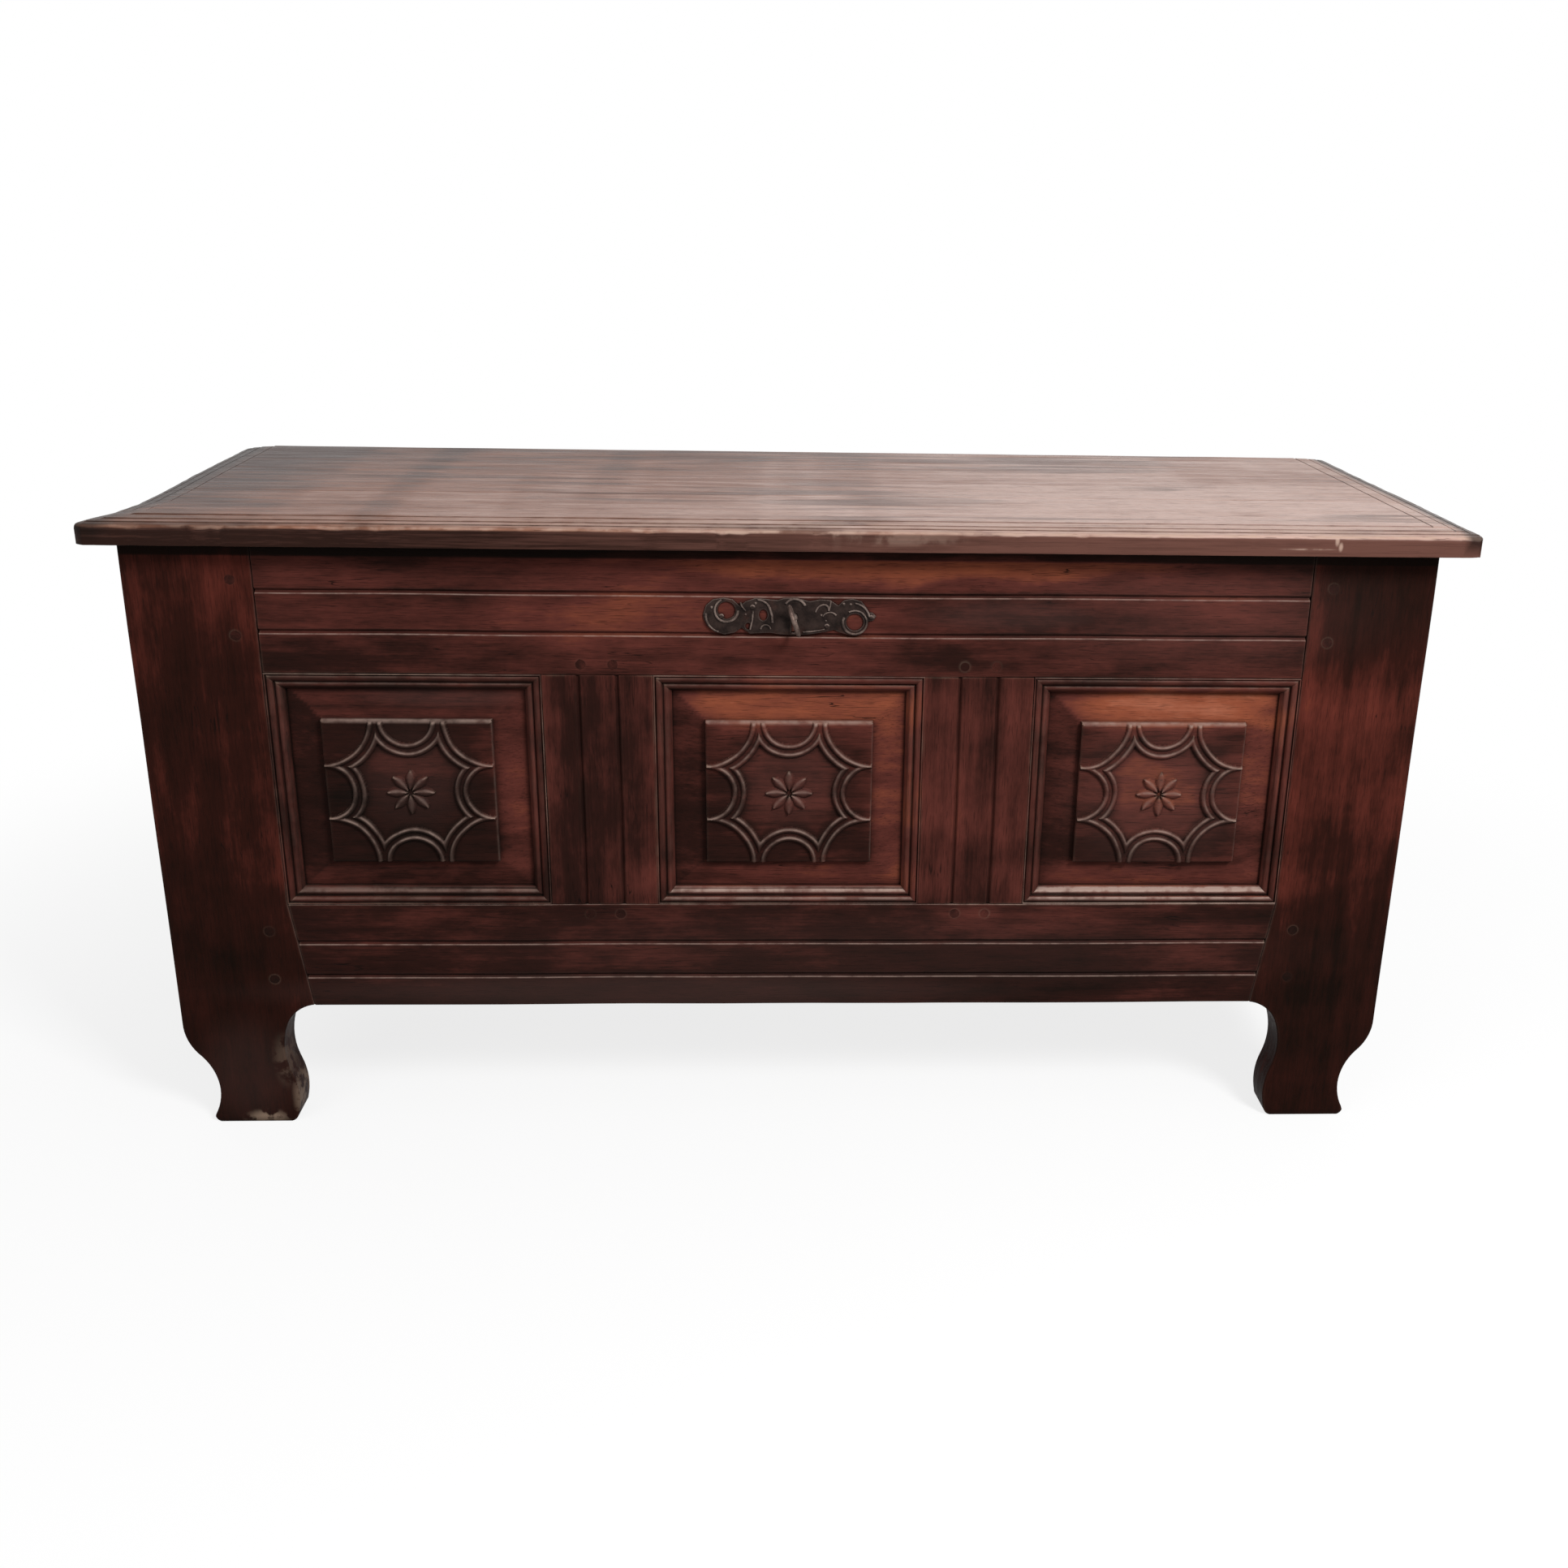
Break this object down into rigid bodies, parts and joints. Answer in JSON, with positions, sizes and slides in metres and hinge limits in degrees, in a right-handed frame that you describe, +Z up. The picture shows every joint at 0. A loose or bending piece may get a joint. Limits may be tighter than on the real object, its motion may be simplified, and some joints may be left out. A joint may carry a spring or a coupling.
{
  "type": "coffer chest",
  "caption": "Joined oak coffer chest with carved panels in mitred mouldings, shaped feet, a moulded lid on strap hinges and an iron lock with its key.",
  "frame": {"origin": "on the floor, in the middle of the whole chest's box", "axes": "+X to the right seen from the front, +Y from the front to the back, +Z up"},
  "size_m": [1.36, 0.5142, 0.669],
  "materials": {
    "stained_oak": "waxed, dark stained",
    "lid_oak": "waxed, worn",
    "bare_oak": "raw, aged",
    "dark_iron": "hammered, aged",
    "worn_steel": "worn"
  },
  "bodies": {
    "carcase": {"back_bottom_rail": "stained_oak", "back_muntin": "stained_oak", "back_panel_left": "stained_oak", "back_panel_right": "stained_oak", "back_pegs": "stained_oak", "back_stile_left": "stained_oak", "back_stile_right": "stained_oak", "back_top_rail": "stained_oak", "escutcheon": "dark_iron", "escutcheon_nails": "dark_iron", "floor_board_1": "bare_oak", "floor_board_2": "bare_oak", "floor_board_3": "bare_oak", "floor_board_4": "bare_oak", "floor_board_5": "bare_oak", "floor_ledger_back": "bare_oak", "floor_ledger_front": "bare_oak", "floor_nails": "dark_iron", "front_bottom_rail": "stained_oak", "front_muntin_left": "stained_oak", "front_muntin_right": "stained_oak", "front_panel_centre": "stained_oak", "front_panel_left": "stained_oak", "front_panel_right": "stained_oak", "front_pegs": "stained_oak", "front_stile_left": "stained_oak", "front_stile_right": "stained_oak", "front_top_rail": "stained_oak", "hinge_pin_left": "dark_iron", "hinge_pin_right": "dark_iron", "hinge_plate_left": "dark_iron", "hinge_plate_nails": "dark_iron", "hinge_plate_right": "dark_iron", "lock_case": "dark_iron", "lock_nails": "dark_iron", "lock_plate": "dark_iron", "lock_spring": "dark_iron", "panel_moulding_centre": "stained_oak", "panel_moulding_left": "stained_oak", "panel_moulding_right": "stained_oak", "side_bottom_rail_left": "stained_oak", "side_bottom_rail_right": "stained_oak", "side_panel_left": "stained_oak", "side_panel_right": "stained_oak", "side_pegs": "stained_oak", "side_top_rail_left": "stained_oak", "side_top_rail_right": "stained_oak"},
    "lid": {"hinge_strap_left": "dark_iron", "hinge_strap_nails": "dark_iron", "hinge_strap_right": "dark_iron", "lid_batten_left": "bare_oak", "lid_batten_nails": "dark_iron", "lid_batten_right": "bare_oak", "lid_board_front": "lid_oak", "lid_board_rear": "lid_oak", "lid_staple": "dark_iron", "lid_staple_nails": "dark_iron"},
    "key": {"key": "worn_steel"},
    "lock_bolt": {"lock_bolt": "dark_iron"}
  },
  "joints": [
    {"name": "lid_hinge", "type": "hinge", "parent": "carcase", "child": "lid", "pos_m": [0, 0.25115, 0.641], "axis": [-1, 0, 0], "range_deg": [0, 100]},
    {"name": "key_turn", "type": "hinge", "parent": "carcase", "child": "key", "pos_m": [0.004, -0.22515, 0.573], "axis": [0, 1, 0], "range_deg": [0, 61]},
    {"name": "bolt_slide", "type": "slide", "parent": "carcase", "child": "lock_bolt", "axis": [-1, 0, 0], "range_m": [0, 0.012]}
  ],
  "couplings": [
    {"joint": "key_turn", "follows": "bolt_slide", "rad_per_m": 87.26}
  ]
}
